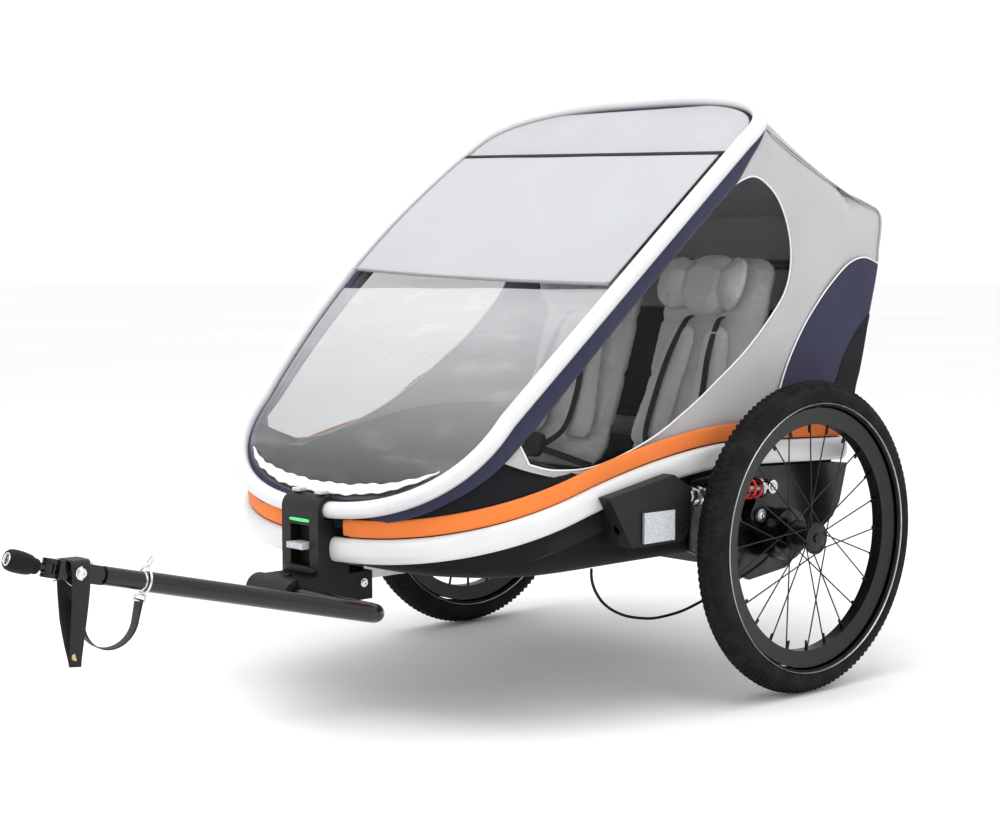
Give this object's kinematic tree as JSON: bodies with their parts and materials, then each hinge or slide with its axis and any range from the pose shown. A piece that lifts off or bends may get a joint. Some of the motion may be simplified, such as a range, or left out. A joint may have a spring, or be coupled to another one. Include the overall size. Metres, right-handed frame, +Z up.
{
  "type": "child bicycle trailer",
  "caption": "Two-wheeled trailer that carries seated children behind a bicycle, with a folding hoop, covered cabin, sprung wheels and side drawbar.",
  "frame": {"origin": "on the ground, in the middle of the whole trailer's length and width", "axes": "+X to the trailer's left, -Y forward along the drawbar, +Z up; the axle runs along X"},
  "size_m": [0.88, 1.6476, 0.9806],
  "materials": {
    "white_paint": "satin powder coat",
    "brushed_alloy": "satin",
    "black_paint": "satin powder coat",
    "black_nylon": "grained",
    "grey_plastic": "satin",
    "black_fabric": "coated weave",
    "bright_steel": "polished",
    "clear_prism": "prismatic",
    "orange_fabric": "plain weave",
    "grey_fabric": "plain weave",
    "dark_mesh": "open mesh",
    "seat_fabric": "padded weave",
    "clear_film": "clear film over mesh",
    "shade_fabric": "coated weave",
    "red_paint": "gloss",
    "tyre_rubber": "worn rubber",
    "black_alloy": "anodised",
    "black_steel": "blacked",
    "cable_rubber": "smooth",
    "black_rubber": "matt",
    "black_webbing": "ribbed webbing"
  },
  "bodies": {
    "chassis": {"lower_frame": "white_paint", "spine_beam": "brushed_alloy", "axle_beam": "black_paint", "front_tower": "black_nylon", "floor_tub": "black_fabric", "side_plates": "black_paint", "arm_pivots": "bright_steel", "side_brackets": "black_nylon", "reflectors": "clear_prism", "rear_hinge_blocks": "black_nylon", "trim_band": "orange_fabric", "side_panel_l": "grey_fabric", "side_panel_r": "grey_fabric", "side_windows": "dark_mesh", "rear_panel": "grey_fabric", "roof_panel": "grey_fabric", "seat_base": "seat_fabric", "shock_bodies": "bright_steel", "coil_spring_l": "red_paint", "coil_spring_r": "red_paint", "brake_cable": "cable_rubber"},
    "lever": {"release_lever": "grey_plastic"},
    "seat_l": {"seat_back_l": "seat_fabric", "headrest_l": "seat_fabric", "harness_l": "seat_fabric"},
    "seat_r": {"seat_back_r": "seat_fabric", "headrest_r": "seat_fabric", "harness_r": "seat_fabric"},
    "hoop": {"hoop_tube": "white_paint", "hoop_clips": "grey_plastic", "front_roof": "grey_fabric"},
    "cover": {"front_window": "clear_film", "cover_buckles": "grey_plastic", "sunshade": "shade_fabric"},
    "hem": {"shade_hem": "shade_fabric"},
    "rear_frame": {"rear_frame": "black_paint"},
    "shock_l": {"shock_rod_l": "bright_steel"},
    "shock_r": {"shock_rod_r": "bright_steel"},
    "arm_l": {"swing_arm_l": "black_paint", "axle_pin_l": "bright_steel", "brake_drum_l": "black_paint"},
    "arm_r": {"swing_arm_r": "black_paint", "axle_pin_r": "bright_steel", "brake_drum_r": "black_paint"},
    "wheel_l": {"tyre_l": "tyre_rubber", "rim_l": "black_alloy", "spokes_l": "black_steel", "hub_l": "black_nylon"},
    "wheel_r": {"tyre_r": "tyre_rubber", "rim_r": "black_alloy", "spokes_r": "black_steel", "hub_r": "black_nylon"},
    "button_l": {"hub_button_l": "black_nylon"},
    "button_r": {"hub_button_r": "black_nylon"},
    "drawbar": {"drawbar_tube": "black_paint", "hitch_block": "black_paint", "safety_strap": "black_webbing"},
    "pin": {"hitch_pin": "bright_steel"},
    "neck": {"hitch_neck": "black_steel"},
    "boot": {"hitch_boot": "black_rubber"}
  },
  "joints": [
    {"name": "hoop_fold", "type": "hinge", "parent": "chassis", "child": "hoop", "pos_m": [0, -0.1752, 0.322], "axis": [-1, 0, 0], "range_deg": [0, 28.5], "deforming": ["side_panel_l", "side_panel_r", "side_windows", "rear_panel", "roof_panel", "seat_back_l", "seat_back_r", "headrest_l", "headrest_r", "harness_l", "harness_r"]},
    {"name": "rear_frame_fold", "type": "hinge", "parent": "chassis", "child": "rear_frame", "pos_m": [0, 0.6758, 0.4], "axis": [1, 0, 0], "range_deg": [0, 105]},
    {"name": "cover_lift", "type": "hinge", "parent": "hoop", "child": "cover", "pos_m": [0, 0.41137, 0.86633], "axis": [-1, 0, 0], "range_deg": [0, 100]},
    {"name": "shade_roll", "type": "slide", "parent": "cover", "child": "hem", "axis": [0, 0.749, 0.6626], "range_m": [0, 0.25], "deforming": ["sunshade"]},
    {"name": "seat_recline_l", "type": "hinge", "parent": "chassis", "child": "seat_l", "pos_m": [0, 0.4558, 0.312], "axis": [-1, 0, 0], "range_deg": [0, 12]},
    {"name": "arm_bump_l", "type": "hinge", "parent": "chassis", "child": "arm_l", "pos_m": [0, 0.4608, 0.286], "axis": [1, 0, 0], "range_deg": [0, 20], "stiffness_Nm_per_rad": 60, "springref_deg": -20.05},
    {"name": "shock_slide_l", "type": "slide", "parent": "chassis", "child": "shock_l", "axis": [0, -1, 0], "range_m": [0, 0.0175], "deforming": ["coil_spring_l"]},
    {"name": "wheel_spin_l", "type": "hinge", "parent": "arm_l", "child": "wheel_l", "pos_m": [0.415, 0.5058, 0.253], "axis": [1, 0, 0], "continuous": true},
    {"name": "hub_button_press_l", "type": "slide", "parent": "wheel_l", "child": "button_l", "axis": [-1, 0, 0], "range_m": [0, 0.004], "stiffness_N_per_m": 300},
    {"name": "seat_recline_r", "type": "hinge", "parent": "chassis", "child": "seat_r", "pos_m": [0, 0.4558, 0.312], "axis": [-1, 0, 0], "range_deg": [0, 12]},
    {"name": "arm_bump_r", "type": "hinge", "parent": "chassis", "child": "arm_r", "pos_m": [0, 0.4608, 0.286], "axis": [1, 0, 0], "range_deg": [0, 20], "stiffness_Nm_per_rad": 60, "springref_deg": -20.05},
    {"name": "shock_slide_r", "type": "slide", "parent": "chassis", "child": "shock_r", "axis": [0, -1, 0], "range_m": [0, 0.0175], "deforming": ["coil_spring_r"]},
    {"name": "wheel_spin_r", "type": "hinge", "parent": "arm_r", "child": "wheel_r", "pos_m": [-0.415, 0.5058, 0.253], "axis": [1, 0, 0], "continuous": true},
    {"name": "hub_button_press_r", "type": "slide", "parent": "wheel_r", "child": "button_r", "axis": [1, 0, 0], "range_m": [0, 0.004], "stiffness_N_per_m": 300},
    {"name": "release_lever_press", "type": "hinge", "parent": "chassis", "child": "lever", "pos_m": [0, -0.1832, 0.2665], "axis": [1, 0, 0], "range_deg": [0, 12], "stiffness_Nm_per_rad": 2, "springref_deg": -5.73},
    {"name": "drawbar_release", "type": "slide", "parent": "chassis", "child": "drawbar", "axis": [1, 0, 0], "range_m": [0, 0.08]},
    {"name": "hitch_pin_pull", "type": "slide", "parent": "drawbar", "child": "pin", "axis": [0, 0.2334, 0.9724], "range_m": [0, 0.028]},
    {"name": "hitch_yaw", "type": "hinge", "parent": "drawbar", "child": "neck", "pos_m": [0.25, -0.76414, 0.32523], "axis": [0, 0.2334, 0.9724], "range_deg": [-60, 60], "stiffness_Nm_per_rad": 4},
    {"name": "hitch_pitch", "type": "hinge", "parent": "neck", "child": "boot", "pos_m": [0.25, -0.78651, 0.3306], "axis": [-1, 0, 0], "range_deg": [-20, 14], "stiffness_Nm_per_rad": 4}
  ],
  "couplings": [
    {"joint": "rear_frame_fold", "follows": "hoop_fold", "ratio": 3.6841},
    {"joint": "shock_slide_l", "follows": "arm_bump_l", "m_per_rad": 0.047},
    {"joint": "shock_slide_r", "follows": "arm_bump_r", "m_per_rad": 0.047}
  ]
}
